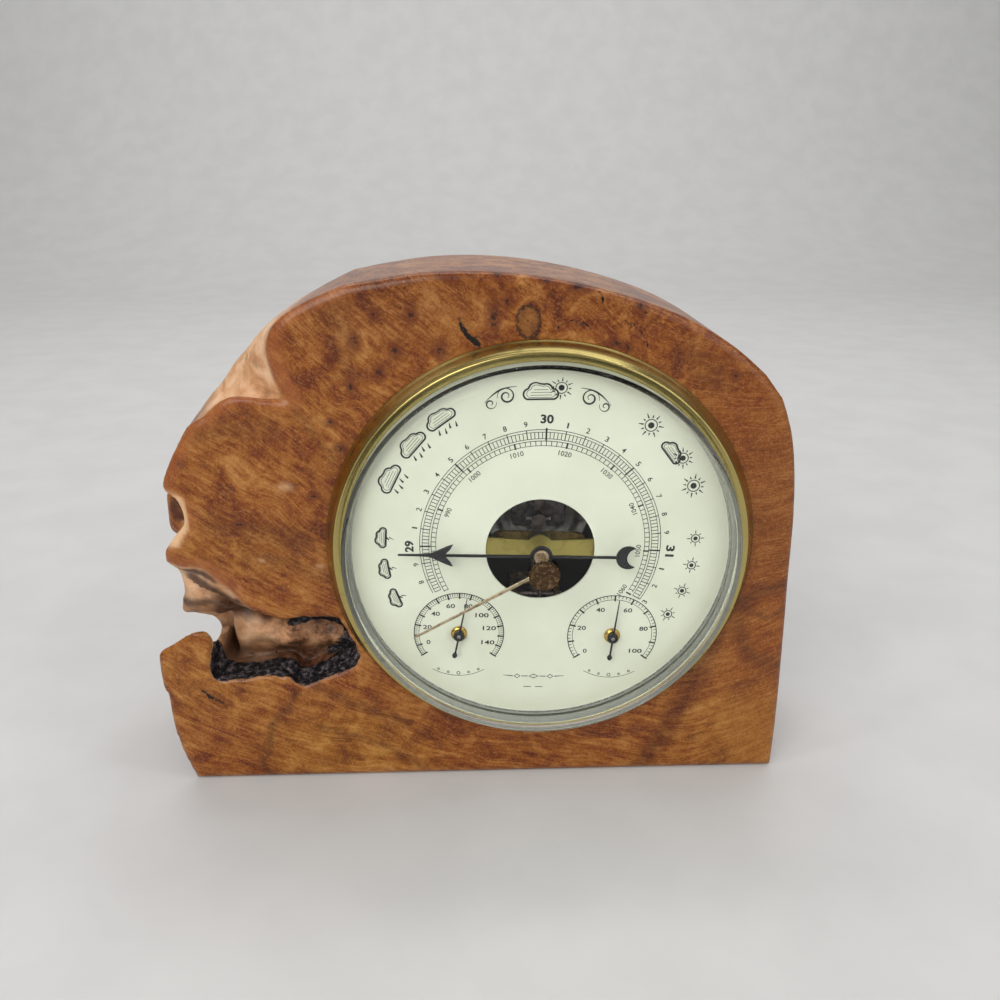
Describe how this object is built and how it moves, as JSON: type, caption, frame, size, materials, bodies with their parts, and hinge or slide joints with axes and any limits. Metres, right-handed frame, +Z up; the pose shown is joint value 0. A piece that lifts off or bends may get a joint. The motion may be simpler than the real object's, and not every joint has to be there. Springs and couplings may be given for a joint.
{
  "type": "weather station",
  "caption": "Aneroid barometer with thermometer and hygrometer in one domed dial, set in a free-standing natural-edge burl block",
  "frame": {"origin": "middle of the bounding box on the table plane", "axes": "+X to the viewer's right, +Y from the dial into the block, +Z up"},
  "size_m": [0.2341, 0.0791, 0.1916],
  "materials": {
    "burl_wood": "satin lacquer over burl figure",
    "satin_brass": "satin, lightly brushed, lacquered",
    "worn_brass": "worn and darkened",
    "plate_brass": "plain turned and stamped brass",
    "clear_crystal": "clear, domed",
    "black_rubber": "matt",
    "dial_enamel": "pale cream enamel with black print",
    "black_case": "black lacquer",
    "spring_steel": "plain spring steel",
    "lever_steel": "plain steel",
    "screw_steel": "turned steel",
    "nickel_silver": "rolled and corrugated sheet",
    "black_hand": "satin black",
    "bimetal_strip": "rolled strip",
    "foil_strip": "coated foil strip"
  },
  "bodies": {
    "housing": {"burl_block": "burl_wood", "bezel_ring": "satin_brass", "crystal": "clear_crystal", "crystal_gasket": "black_rubber", "dial_plate": "dial_enamel", "case_pan": "black_case", "case_clips": "spring_steel", "movement_plate": "plate_brass", "plate_spacers": "plate_brass", "plate_screws": "screw_steel", "capsule": "nickel_silver", "main_spring": "spring_steel", "spring_screws": "screw_steel", "rocker_bracket": "plate_brass", "bracket_screws": "screw_steel", "pivot_screws": "screw_steel", "chain": "spring_steel", "hairspring": "spring_steel", "hairspring_stud": "plate_brass", "cock_bar": "satin_brass", "lower_cock": "plate_brass", "cock_posts": "plate_brass", "bar_pillars": "plate_brass", "bar_screws": "screw_steel", "crystal_bush": "plate_brass", "thermo_bush": "satin_brass", "thermo_coil": "bimetal_strip", "thermo_frame": "lever_steel", "hygro_bush": "satin_brass", "hygro_coil": "foil_strip", "hygro_frame": "lever_steel"},
    "pressure_hand": {"hand_arbor": "lever_steel", "pressure_hand": "black_hand", "hand_boss": "satin_brass"},
    "rocker": {"rocker": "lever_steel"},
    "lever": {"main_lever": "lever_steel", "lever_link": "lever_steel", "capsule_post": "plate_brass", "knife_pin": "spring_steel"},
    "set_hand": {"set_knob": "worn_brass", "set_spindle": "screw_steel", "set_hand": "worn_brass"},
    "thermometer_hand": {"thermo_arbor": "lever_steel", "thermo_hand": "black_hand"},
    "hygrometer_hand": {"hygro_arbor": "lever_steel", "hygro_hand": "black_hand"},
    "adjusting_screw": {"adjusting_screw": "plate_brass"}
  },
  "joints": [
    {"name": "pressure", "type": "hinge", "parent": "housing", "child": "pressure_hand", "pos_m": [0.0243, -0.01745, 0.0955], "axis": [0, 1, 0], "range_deg": [-26.5, 209], "stiffness_Nm_per_rad": 0.001, "deforming": ["hairspring", "chain"]},
    {"name": "rocker_tilt", "type": "hinge", "parent": "housing", "child": "rocker", "pos_m": [0.02338, -0.00445, 0.07152], "axis": [0.9993, 0, -0.0384], "range_deg": [-4.1, 31.5]},
    {"name": "lever_lift", "type": "hinge", "parent": "housing", "child": "lever", "pos_m": [0.0256, 0.0033, 0.12948], "axis": [0.9993, 0, -0.0384], "range_deg": [-0.22, 1.6], "deforming": ["main_spring", "capsule"]},
    {"name": "set_hand_turn", "type": "hinge", "parent": "housing", "child": "set_hand", "pos_m": [0.0243, -0.03545, 0.0955], "axis": [0, 1, 0], "continuous": true},
    {"name": "temperature", "type": "hinge", "parent": "housing", "child": "thermometer_hand", "pos_m": [-0.00518, -0.01745, 0.06261], "axis": [0, 1, 0], "range_deg": [-135, 115], "stiffness_Nm_per_rad": 0.0005, "deforming": ["thermo_coil"]},
    {"name": "humidity", "type": "hinge", "parent": "housing", "child": "hygrometer_hand", "pos_m": [0.05117, -0.01745, 0.06044], "axis": [0, 1, 0], "range_deg": [-129.5, 120.5], "stiffness_Nm_per_rad": 0.0005, "deforming": ["hygro_coil"]},
    {"name": "adjusting_screw_turn", "type": "hinge", "parent": "housing", "child": "adjusting_screw", "pos_m": [0.02455, 0.01255, 0.10189], "axis": [0, 1, 0], "continuous": true}
  ],
  "couplings": [
    {"joint": "rocker_tilt", "follows": "pressure", "ratio": 0.15},
    {"joint": "lever_lift", "follows": "pressure", "ratio": 0.00728}
  ]
}
